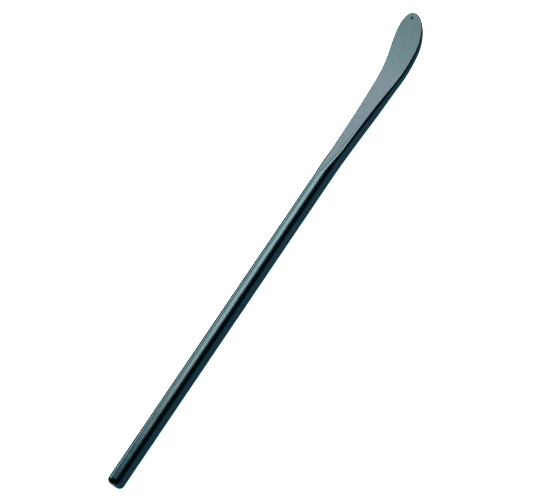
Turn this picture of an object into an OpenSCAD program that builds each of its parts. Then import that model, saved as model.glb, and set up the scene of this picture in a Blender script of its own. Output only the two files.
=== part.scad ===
// Spoon-ended pry bar, forged in one piece from round steel bar.
// It lies on its back: the shank runs along X from the butt at the origin, and the flat
// face of the spoon looks up, along Z. The shank and the spoon are two nodes that meet face
// to face, so that each collides as the shape it is.

/* [Shank] */
// Overall length, from the butt to the tip
bar_l = 609.6; // [500:0.1:760]
// Diameter of the round bar
bar_d = 19.05; // [16:0.05:22]
// Rounding of the butt's edge
butt_r = 5.5; // [1:0.1:6.5]

/* [Spoon face] */
// Length forged flat, back from the tip
face_l = 216; // [190:1:230]
// Height of the flat over the shank's axis where it starts
face_h = 7.3; // [6.5:0.1:7.8]
// Depth of the small step down onto the flat where it starts
onset_step = 0.05; // [0.05:0.01:0.1]
// Length over which the flat cuts down to its full depth
onset_l = 45; // [35:1:55]
// Slope of the flat down towards the bend, in degrees
ramp_a = 1.85; // [1.4:0.05:2.2]
// Slope of the tip up from the bend, in degrees
tip_a = 25.5; // [22:0.5:28]
// Distance from the tip to the corner where the two slopes meet
bend_l = 46; // [42:1:50]
// Radius that rounds that corner
bend_r = 140; // [120:5:155]

/* [Spoon outline] */
// Width that the flare would reach at the tip, were the nose not rounded off
flare_w = 52.8; // [48:0.2:56]
// How late the widening comes: higher keeps the neck slim for longer
flare_power = 1.8; // [1.5:0.05:2.2]
// Length of the rounded nose
nose_l = 42; // [36:1:46]

/* [Spoon section] */
// Thickness at the tip
tip_t = 2.6; // [2.4:0.1:4]
// Distance from the tip to where the underside starts to rise
heel_l = 123; // [115:1:130]
// Length over which that rise sets in
heel_soft_l = 51; // [45:1:60]
// Thickness that the blade tapers down from
blade_t = 10.4; // [9.5:0.1:11.5]
// How late the blade thins: higher keeps it thick for longer
taper_power = 2.7; // [2:0.1:3.2]
// Share of the thickness that lies under the widest level
belly_share = 0.6; // [0.56:0.01:0.68]
// Length over which the round section turns into the flat-bellied one
blend_l = 70; // [60:1:90]
// Rounding of the face's edge where the flat starts
edge_r_neck = 3; // [2:0.1:3.5]
// Rounding of the face's edge on the blade
edge_r_tip = 0.8; // [0.6:0.1:1.2]
// Length over which that rounding sharpens
edge_soft_l = 110; // [90:5:130]

/* [Hidden] */
steel = [0.08, 0.17, 0.2];
bar_r = bar_d / 2;
shank_l = bar_l - face_l;
corner_x = bar_l - bend_l;
corner_z = face_h - tan(ramp_a) * (face_l - bend_l);
heel_x = bar_l - heel_l;
nose_x = bar_l - nose_l;
nose_end_w = 0.6;          // half width left at the very tip
edge_share = 0.9;          // most of the side that the edge may round off
crown_a = 30;              // the belly's gentle crown takes up this much of the side's arc
wall_n = 18;               // points up each side of a section
edge_n = 3;                // points round each edge of the face
onset_n = 12;              // sections over the onset
body_n = 26;               // sections from there to the nose
nose_n = 16;               // sections over the nose
$fn = 96;

function clip(t) = min(max(t, 0), 1);
function ease(t) = let (c = clip(t)) c * c * (3 - 2 * c);
function mix(a, b, t) = a + (b - a) * t;

// Height of the face along the bar: a slope down, an arc and a slope up
bend_t = bend_r * tan((ramp_a + tip_a) / 2);
arc_x = corner_x - bend_t * cos(ramp_a) + bend_r * sin(ramp_a);
arc_z = corner_z + bend_t * sin(ramp_a) + bend_r * cos(ramp_a);
function slopes_z(x) =
    x < corner_x - bend_t * cos(ramp_a) ? corner_z - tan(ramp_a) * (x - corner_x)
    : x > corner_x + bend_t * cos(tip_a) ? corner_z + tan(tip_a) * (x - corner_x)
    : arc_z - sqrt(pow(bend_r, 2) - pow(x - arc_x, 2));
function face_z(x) = mix(bar_r - onset_step, slopes_z(x), ease((x - shank_l) / onset_l));

// Height of the underside: level, then up to the blade's thickness under the face
function thin_t(x) = mix(blade_t, tip_t, pow(clip((x - heel_x) / heel_l), taper_power));
function belly_z(x) = mix(-bar_r, face_z(x) - thin_t(x), ease((x - heel_x) / heel_soft_l));

// Half width: the shank flares all the way along the face, and rounds off at the nose
function half_w(x) =
    let (nose = clip((x - nose_x) / nose_l),
         flare = pow(clip((x - shank_l) / face_l), flare_power))
    max(nose_end_w, mix(bar_r, flare_w / 2, flare) * sqrt(1 - nose * nose));

// One cross section, from the bottom up the +Y side, over the flat and down the -Y side
function side(x) =
    let (w = half_w(x), top = face_z(x), low = belly_z(x),
         h = mix(bar_r, belly_share * (top - low), ease((x - shank_l) / blend_l)),
         mid = low + h,
         s = min(w, h),
         flat_w = w - s + s * sqrt(1 - pow((top - mid) / h, 2)),
         edge_r = mix(edge_r_neck, edge_r_tip, ease((x - shank_l) / edge_soft_l)),
         e = min(edge_r, flat_w / 2, (top - mid) * edge_share),
         from = asin((top - e - mid) / h),
         wall = [for (i = [0 : wall_n])
             let (a = mix(-90, from, i / wall_n))
             [s * cos(a) + (w - s) * ease((a + 90) / crown_a), mid + h * sin(a)]],
         last = wall[wall_n])
    concat(wall, [for (i = [1 : edge_n])
        let (t = i / edge_n)
        mix(mix(last, [flat_w, top], t), mix([flat_w, top], [flat_w - e, top], t), t)]);
function section(x) =
    let (s = side(x), m = len(s))
    concat([for (p = s) [x, p[0], p[1]]],
           [for (i = [m - 1 : -1 : 1]) [x, -s[i][0], s[i][1]]]);

stations = concat(
    [for (i = [0 : onset_n - 1]) shank_l + onset_l * i / onset_n],
    [for (i = [0 : body_n - 1]) mix(shank_l + onset_l, nose_x, i / body_n)],
    [for (i = [0 : nose_n]) nose_x + nose_l * sin(90 * i / nose_n)]);

module shank() {
    color(steel) rotate([0, 90, 0]) rotate_extrude() {
        translate([0, butt_r]) square([bar_r, shank_l - butt_r]);
        square([bar_r - butt_r, butt_r]);
        intersection() {
            translate([bar_r - butt_r, butt_r]) circle(butt_r);
            translate([bar_r - butt_r, 0]) square(butt_r);
        }
    }
}

module spoon() {
    rings = [for (x = stations) section(x)];
    m = len(rings[0]);
    ends = len(rings) - 1;
    skin = [for (r = [0 : ends - 1]) for (i = [0 : m - 1])
        let (a = r * m + i, b = r * m + (i + 1) % m)
        each [[a, a + m, b], [b, a + m, b + m]]];
    color(steel) polyhedron(
        points = [for (ring = rings) each ring],
        faces = concat([[for (i = [0 : m - 1]) i]], skin, [[for (i = [m - 1 : -1 : 0]) ends * m + i]]));
}

shank();
spoon();
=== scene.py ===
"""Looks of the spoon-ended pry bar: one seamless forging in satin blue-black paint, on a pale floor."""

import math

import bpy
import numpy as np
from mathutils import Matrix, Vector
from mathutils.noise import noise as noise_at


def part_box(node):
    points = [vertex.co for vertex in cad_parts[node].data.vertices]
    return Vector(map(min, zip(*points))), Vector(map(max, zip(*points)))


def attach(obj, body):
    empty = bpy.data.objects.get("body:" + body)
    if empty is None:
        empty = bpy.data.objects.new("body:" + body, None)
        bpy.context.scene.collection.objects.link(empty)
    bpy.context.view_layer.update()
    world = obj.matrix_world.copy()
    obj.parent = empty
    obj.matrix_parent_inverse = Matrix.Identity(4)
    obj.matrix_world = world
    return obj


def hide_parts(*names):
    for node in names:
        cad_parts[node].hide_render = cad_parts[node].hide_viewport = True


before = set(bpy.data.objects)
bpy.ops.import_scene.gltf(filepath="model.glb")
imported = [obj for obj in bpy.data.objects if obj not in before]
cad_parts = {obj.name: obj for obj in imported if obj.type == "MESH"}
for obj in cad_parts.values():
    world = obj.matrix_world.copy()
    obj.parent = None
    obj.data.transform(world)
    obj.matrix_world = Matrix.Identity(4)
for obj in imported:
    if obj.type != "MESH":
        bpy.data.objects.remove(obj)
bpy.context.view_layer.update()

MM = 0.001

# ---- The bar's own sizes, in millimetres. The frame gives the overall ones. ----
shank_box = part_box("shank")
spoon_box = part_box("spoon")
BAR_L = spoon_box[1].x / MM
BAR_R = shank_box[1].z / MM
SHANK_L = shank_box[1].x / MM
FACE_L = BAR_L - SHANK_L

BUTT_R = 5.5            # rounding of the butt's edge

FACE_H = 7.3            # height of the flat over the axis, where it starts
ONSET_STEP = 0.05       # depth of the small step down onto the flat
ONSET_L = 45.0          # length over which the flat cuts down to its full depth
RAMP_A = math.radians(1.85)     # slope down towards the bend
TIP_A = math.radians(25.5)      # slope up from the bend
BEND_L = 46.0           # from the tip to the corner between the two slopes
BEND_R = 140.0          # radius that rounds that corner

FLARE_W = 52.8          # width that the flare would reach at the tip
FLARE_POWER = 1.8       # how late the widening comes
NOSE_L = 42.0           # length of the rounded nose

TIP_T = 2.6             # thickness at the tip
HEEL_L = 123.0          # from the tip to where the underside starts to rise
HEEL_SOFT_L = 51.0      # length over which that rise sets in
BLADE_T = 10.4          # thickness that the blade tapers down from
TAPER_POWER = 2.7       # how late the blade thins
BELLY_SHARE = 0.6       # share of the thickness that lies under the widest level
BLEND_L = 70.0          # length over which the round section turns into the flat-bellied one
CROWN_A = math.radians(30)      # the belly's crown takes up this much of the side's arc

EDGE_W_NECK = 5.0       # how far in from the edge of the face its rounding starts, at the neck
EDGE_W_TIP = 0.7
EDGE_H_NECK = 2.2       # how far down the side that rounding reaches
EDGE_H_TIP = 0.5
EDGE_SOFT_L = 110.0     # length over which the rounding sharpens
EDGE_W_MOST = 0.97      # most of the face's half width that the rounding takes up
EDGE_H_MOST = 0.9       # most of the height over the widest level that it takes up
EDGE_STEEPEST = 0.5     # most of the face's half width that it reaches down

WAVES = ((22.0, 0.10), (7.0, 0.035))            # size and depth of the forging's waves
WAVE_SHIFT = Vector((24.0, 7.0, 3.0))           # where in the noise this bar lies
PIT_FROM_TIP = 6.5
PIT_R = 2.0
PIT_DEPTH = 0.8

CORNER_X = BAR_L - BEND_L
CORNER_Z = FACE_H - math.tan(RAMP_A) * (FACE_L - BEND_L)
HEEL_X = BAR_L - HEEL_L
NOSE_X = BAR_L - NOSE_L

# ---- How finely it is built ----
WALL_N = 40             # points up each side of a section
EDGE_N = 14             # points round each edge of the face
FLAT_N = 40             # points from that edge to the middle of the face
END_RINGS = 8           # rings over the flat of the butt
FIRST_RING = 0.06       # the smallest of them, as a share of that flat
ROUNDING_RINGS = 14     # rings over the butt's rounding
SHANK_RINGS = 188
ONSET_RINGS = 32
BODY_RINGS = 130
SPOKES = 120            # sections fanned round the nose
SMALL_A = 0.002         # a step along the side's arc, to find its direction


def ease(t):
    c = np.clip(t, 0.0, 1.0)
    return c * c * (3 - 2 * c)


def mix(a, b, t):
    return a + (b - a) * t


# ---- Side view and outline ----
def slopes_z(x):
    """The face: a slope down, an arc and a slope up."""
    bend_t = BEND_R * math.tan((RAMP_A + TIP_A) / 2)
    arc_x = CORNER_X - bend_t * math.cos(RAMP_A) + BEND_R * math.sin(RAMP_A)
    arc_z = CORNER_Z + bend_t * math.sin(RAMP_A) + BEND_R * math.cos(RAMP_A)
    if x < CORNER_X - bend_t * math.cos(RAMP_A):
        return CORNER_Z - math.tan(RAMP_A) * (x - CORNER_X)
    if x > CORNER_X + bend_t * math.cos(TIP_A):
        return CORNER_Z + math.tan(TIP_A) * (x - CORNER_X)
    return arc_z - math.sqrt(BEND_R**2 - (x - arc_x) ** 2)


def face_z(x):
    return mix(BAR_R - ONSET_STEP, slopes_z(x), ease((x - SHANK_L) / ONSET_L))


def belly_z(x):
    """The underside: level, then up to the blade's thickness under the face."""
    thin = mix(BLADE_T, TIP_T, np.clip((x - HEEL_X) / HEEL_L, 0, 1) ** TAPER_POWER)
    return mix(-BAR_R, face_z(x) - thin, ease((x - HEEL_X) / HEEL_SOFT_L))


def flare_half_w(x):
    """Half width, before the nose is rounded off."""
    return mix(BAR_R, FLARE_W / 2, np.clip((x - SHANK_L) / FACE_L, 0, 1) ** FLARE_POWER)


def side_h(x):
    """Height from the belly to the widest level."""
    return mix(BAR_R, BELLY_SHARE * (face_z(x) - belly_z(x)), ease((x - SHANK_L) / BLEND_L))


# ---- Cross sections ----
def round_side(a, w, h, mid):
    """Points of the rounded side and crowned belly, at angles a from the widest level."""
    s = min(w, h)
    return np.stack([s * np.cos(a) + (w - s) * ease((a + math.pi / 2) / CROWN_A), mid + h * np.sin(a)], -1)


def half_section(x, w):
    """The section at x with half width w, from the bottom centre up the +Y side to the middle of the face."""
    h, low, top = side_h(x), belly_z(x), face_z(x)
    mid = low + h
    flat_w = w - min(w, h) * (1 - math.sqrt(1 - ((top - mid) / h) ** 2))
    sharp = ease((x - SHANK_L) / EDGE_SOFT_L)
    edge_w = min(mix(EDGE_W_NECK, EDGE_W_TIP, sharp), flat_w * EDGE_W_MOST)
    edge_h = min(mix(EDGE_H_NECK, EDGE_H_TIP, sharp), (top - mid) * EDGE_H_MOST, flat_w * EDGE_STEEPEST)
    last_a = math.asin((top - edge_h - mid) / h)
    wall = round_side(np.linspace(-math.pi / 2, last_a, WALL_N), w, h, mid)
    lean = wall[-1] - round_side(last_a - SMALL_A, w, h, mid)
    corner = np.array([wall[-1, 0] + lean[0] / lean[1] * edge_h, top])
    inner = np.array([max(corner[0] - edge_w, 0.0), top])
    t = np.linspace(0, 1, EDGE_N + 1)[1:, None]
    edge = mix(mix(wall[-1], corner, t), mix(corner, inner, t), t)
    flat = np.column_stack([np.linspace(inner[0], 0, FLAT_N + 1)[1:], np.full(FLAT_N, top)])
    half = np.vstack([wall, edge, flat])
    half[0, 0] = half[-1, 0] = 0.0
    return half


def ring_from_half(x, half):
    """The closed section at x, as rows of x, y, z."""
    back = half[-2:0:-1] * [-1, 1]
    loop = np.vstack([half, back])
    return np.column_stack([np.full(len(loop), x), loop])


def shank_rings():
    """The butt's flat end, its rounding and the plain shank, with the spoon's spacing of points."""
    first = half_section(SHANK_L, BAR_R)
    angle = np.arctan2(first[:, 1], first[:, 0])
    round_half = np.column_stack([np.cos(angle), np.sin(angle)])
    end_r = BAR_R - BUTT_R
    rings = []
    for k in np.linspace(FIRST_RING, 1, END_RINGS, endpoint=False):
        rings.append(ring_from_half(0.0, round_half * end_r * k))
    for a in np.linspace(0, math.pi / 2, ROUNDING_RINGS):
        rings.append(ring_from_half(BUTT_R * (1 - math.cos(a)), round_half * (end_r + BUTT_R * math.sin(a))))
    for x in np.linspace(BUTT_R, SHANK_L, SHANK_RINGS + 2)[1:-1]:
        rings.append(ring_from_half(x, round_half * BAR_R))
    return rings


def blade_rings():
    onset = np.linspace(SHANK_L, SHANK_L + ONSET_L, ONSET_RINGS, endpoint=False)
    body = np.linspace(SHANK_L + ONSET_L, NOSE_X, BODY_RINGS)
    return [ring_from_half(x, half_section(x, flare_half_w(x))) for x in np.concatenate([onset, body])]


def nose_spoke(a):
    """The section over a spoke of the nose, which starts at NOSE_X and points at angle a from +Y."""
    rim_x = NOSE_X + NOSE_L * math.sin(a)
    rim_y = flare_half_w(rim_x) * math.cos(a)
    run = math.hypot(rim_x - NOSE_X, rim_y)
    half = half_section(rim_x, run)
    reach = half[:, 0] / run
    level = (half[:, 1] - belly_z(rim_x)) / (face_z(rim_x) - belly_z(rim_x))
    x = NOSE_X + reach * (rim_x - NOSE_X)
    low = np.array([belly_z(v) for v in x])
    top = np.array([face_z(v) for v in x])
    return np.column_stack([x, reach * rim_y, low + level * (top - low)])


# ---- The mesh ----
def ring_faces(count, m):
    """The butt's centre, and a skin over that many rings of m points."""
    faces = [[*range(m)][::-1]]
    for r in range(count - 1):
        for i in range(m):
            j = (i + 1) % m
            faces.append([r * m + i, r * m + j, (r + 1) * m + j, (r + 1) * m + i])
    return faces


def close_nose(points, faces, last, m):
    """Fan the nose's spokes from the +Y half of the last ring round the tip to its -Y half."""
    top = last + m // 2
    columns = [[*range(last, top + 1)]]
    for a in np.linspace(0, math.pi, SPOKES + 1)[1:-1]:
        start = len(points)
        points.extend(nose_spoke(a)[1:-1])
        columns.append([last, *range(start, len(points)), top])
    columns.append([last, *range(last + m - 1, top - 1, -1)])
    for a, b in zip(columns[:-1], columns[1:]):
        faces.append([a[0], a[1], b[1]])
        for i in range(1, len(a) - 2):
            faces.append([a[i], a[i + 1], b[i + 1], b[i]])
        faces.append([a[-2], a[-1], b[-2]])


def weather(mesh):
    """Press the slow waves of the forging into the skin, and one small pit into the face near the tip."""
    count = len(mesh.vertices) * 3
    places, normals = np.empty(count), np.empty(count)
    mesh.vertices.foreach_get("co", places)
    mesh.vertex_normals.foreach_get("vector", normals)
    places, normals = places.reshape(-1, 3) / MM, normals.reshape(-1, 3)
    wave = [sum(depth * noise_at(Vector(p) / size + WAVE_SHIFT) for size, depth in WAVES) for p in places]
    far = np.hypot(places[:, 0] - (BAR_L - PIT_FROM_TIP), places[:, 1]) / PIT_R
    dip = PIT_DEPTH * ease(1 - far) * (normals[:, 2] > 0)
    places -= normals * (np.maximum(wave, 0) + dip)[:, None]
    mesh.vertices.foreach_set("co", (places * MM).ravel())


def bar_mesh():
    rings = shank_rings() + blade_rings()
    m = len(rings[0])
    points = [p for ring in rings for p in ring]
    faces = ring_faces(len(rings), m)
    close_nose(points, faces, (len(rings) - 1) * m, m)
    mesh = bpy.data.meshes.new("forged_bar")
    mesh.from_pydata([tuple(np.array(p) * MM) for p in points], [], faces)
    mesh.validate()
    weather(mesh)
    mesh.polygons.foreach_set("use_smooth", [True] * len(mesh.polygons))
    mesh.update()
    return mesh


def place_object(name, data):
    item = bpy.data.objects.new(name, data)
    bpy.context.scene.collection.objects.link(item)
    return item


def add_bar():
    bar = place_object("forged_bar", bar_mesh())
    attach(bar, "root")
    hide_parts("shank", "spoon")
    bar.data.materials.append(steel_material())


# ---- Materials ----
PAINT_GREEN = (0.002, 0.0175, 0.025, 1)     # the two tints of the mottled paint
PAINT_BLUE = (0.001, 0.0155, 0.027, 1)
GREEN_UP_TO = 0.38                          # the mottle's levels where each tint is full
BLUE_FROM = 0.64
GRAZING_TINT = (0.2, 0.35, 0.45, 1)         # darkens the steel where it is seen edge on
ROUGHNESS = (0.33, 0.4)                     # over the mottle's usual levels
MOTTLE_RANGE = (0.3, 0.7)


def new_material(name):
    mat = bpy.data.materials.new(name)
    mat.use_nodes = True
    return mat, mat.node_tree.nodes, mat.node_tree.links


def set_inputs(node, values):
    for name, value in values.items():
        node.inputs[name].default_value = value


def noise(nodes, links, coords, scale, detail, roughness):
    tex = nodes.new("ShaderNodeTexNoise")
    set_inputs(tex, {"Scale": scale, "Detail": detail, "Roughness": roughness})
    links.new(coords, tex.inputs["Vector"])
    return tex.outputs["Fac"]


def steel_material():
    mat, nodes, links = new_material("dark_steel")
    shader = nodes["Principled BSDF"]
    set_inputs(shader, {
        "Metallic": 1.0,
        "Coat Weight": 0.24,
        "Coat Roughness": 0.2,
        "Specular Tint": GRAZING_TINT,
    })
    coords = nodes.new("ShaderNodeTexCoord").outputs["Object"]
    mottle = noise(nodes, links, coords, scale=160, detail=6, roughness=0.65)

    ramp = nodes.new("ShaderNodeValToRGB")
    green, blue = ramp.color_ramp.elements
    green.position, green.color = GREEN_UP_TO, PAINT_GREEN
    blue.position, blue.color = BLUE_FROM, PAINT_BLUE
    links.new(mottle, ramp.inputs["Fac"])
    links.new(ramp.outputs["Color"], shader.inputs["Base Color"])

    gloss = nodes.new("ShaderNodeMapRange")
    set_inputs(gloss, {
        "From Min": MOTTLE_RANGE[0],
        "From Max": MOTTLE_RANGE[1],
        "To Min": ROUGHNESS[0],
        "To Max": ROUGHNESS[1],
    })
    links.new(mottle, gloss.inputs["Value"])
    links.new(gloss.outputs["Result"], shader.inputs["Roughness"])

    grain = noise(nodes, links, coords, scale=900, detail=3, roughness=0.6)
    bump = nodes.new("ShaderNodeBump")
    set_inputs(bump, {"Strength": 0.25, "Distance": 0.1 * MM})
    links.new(grain, bump.inputs["Height"])
    links.new(bump.outputs["Normal"], shader.inputs["Normal"])
    return mat


def floor_material():
    """A pale floor that gives off some light of its own, so that the shadow on it stays faint."""
    mat, nodes, _ = new_material("floor")
    set_inputs(nodes["Principled BSDF"], {
        "Base Color": (0.3, 0.3, 0.3, 1),
        "Emission Color": (0.55, 0.92, 1.0, 1),
        "Emission Strength": 1.3,
        "Roughness": 0.9,
        "Specular IOR Level": 0.0,
    })
    return mat


# ---- Stage, in metres ----
FLOOR_S = 4.0           # half the floor's side


def add_floor():
    low = shank_box[0].z
    s = FLOOR_S
    mesh = bpy.data.meshes.new("floor")
    mesh.from_pydata([(-s, -s, low), (s, -s, low), (s, s, low), (-s, s, low)], [], [[0, 1, 2, 3]])
    mesh.materials.append(floor_material())
    place_object("floor", mesh)


def turned(right, up, back, place):
    """The matrix of a lamp or camera that stands at a place and looks against its back vector."""
    return Matrix.Translation(place) @ Matrix((right, up, back)).transposed().to_4x4()


def area_light(name, place, target, size, radiance, colour):
    light = bpy.data.lights.new(name, "AREA")
    light.shape = "RECTANGLE"
    light.size, light.size_y = size
    light.energy = radiance * math.pi * size[0] * size[1]
    light.color = colour
    back = (Vector(place) - Vector(target)).normalized()
    up = back.cross(Vector((1, 0, 0))).normalized()
    place_object(name, light).matrix_world = turned(up.cross(back), up, back, place)


def add_world():
    world = bpy.data.worlds.new("room")
    world.use_nodes = True
    set_inputs(world.node_tree.nodes["Background"], {"Color": (0.5, 0.8, 1, 1), "Strength": 0.02})
    bpy.context.scene.world = world


def add_lights():
    """The key hangs over the spoon's end and beyond it, and the back panel is what the face mirrors."""
    area_light("key", place=(0.88, 0.0, 1.3), target=(0.88, 0.0, 0.0), size=(1.1, 1.25),
               radiance=21.8, colour=(1, 0.71, 0.57))
    area_light("back", place=(1.25, 2.0, 1.55), target=(0.5, 0.0, 0.0), size=(4.25, 1.3),
               radiance=13.0, colour=(1, 0.80, 0.65))


# ---- Camera ----
TURN = math.radians(-16)        # turns the butt towards the camera
TILT = math.radians(51)         # between the view and straight down, about the bar
SLANT = math.radians(55.85)     # of the bar in the picture
RANGE = 2.6                     # from the aim to the camera, in metres
AIM_ALONG = 0.3005              # where on the bar's axis the camera aims
AIM_ACROSS = -0.00707           # how far off that axis
LENS = 166.4
SENSOR_W = 36


def add_camera():
    st, ct, sp, cp = math.sin(TURN), math.cos(TURN), math.sin(TILT), math.cos(TILT)
    along = Vector((ct, st * sp, -st * cp))
    across = Vector((0, -cp, -sp))
    back = Vector((st, -ct * sp, ct * cp))
    right = along * math.cos(SLANT) + across * math.sin(SLANT)
    up = along * math.sin(SLANT) - across * math.cos(SLANT)
    aim = Vector((AIM_ALONG, 0, 0)) + across * AIM_ACROSS
    data = bpy.data.cameras.new("camera")
    data.lens = LENS
    data.sensor_width = SENSOR_W
    camera = place_object("camera", data)
    camera.matrix_world = turned(right, up, back, aim + back * RANGE)
    bpy.context.scene.camera = camera


bpy.context.scene.view_settings.view_transform = "Standard"
bpy.context.scene.view_settings.look = "High Contrast"
add_camera()
add_floor()
add_world()
add_lights()
add_bar()
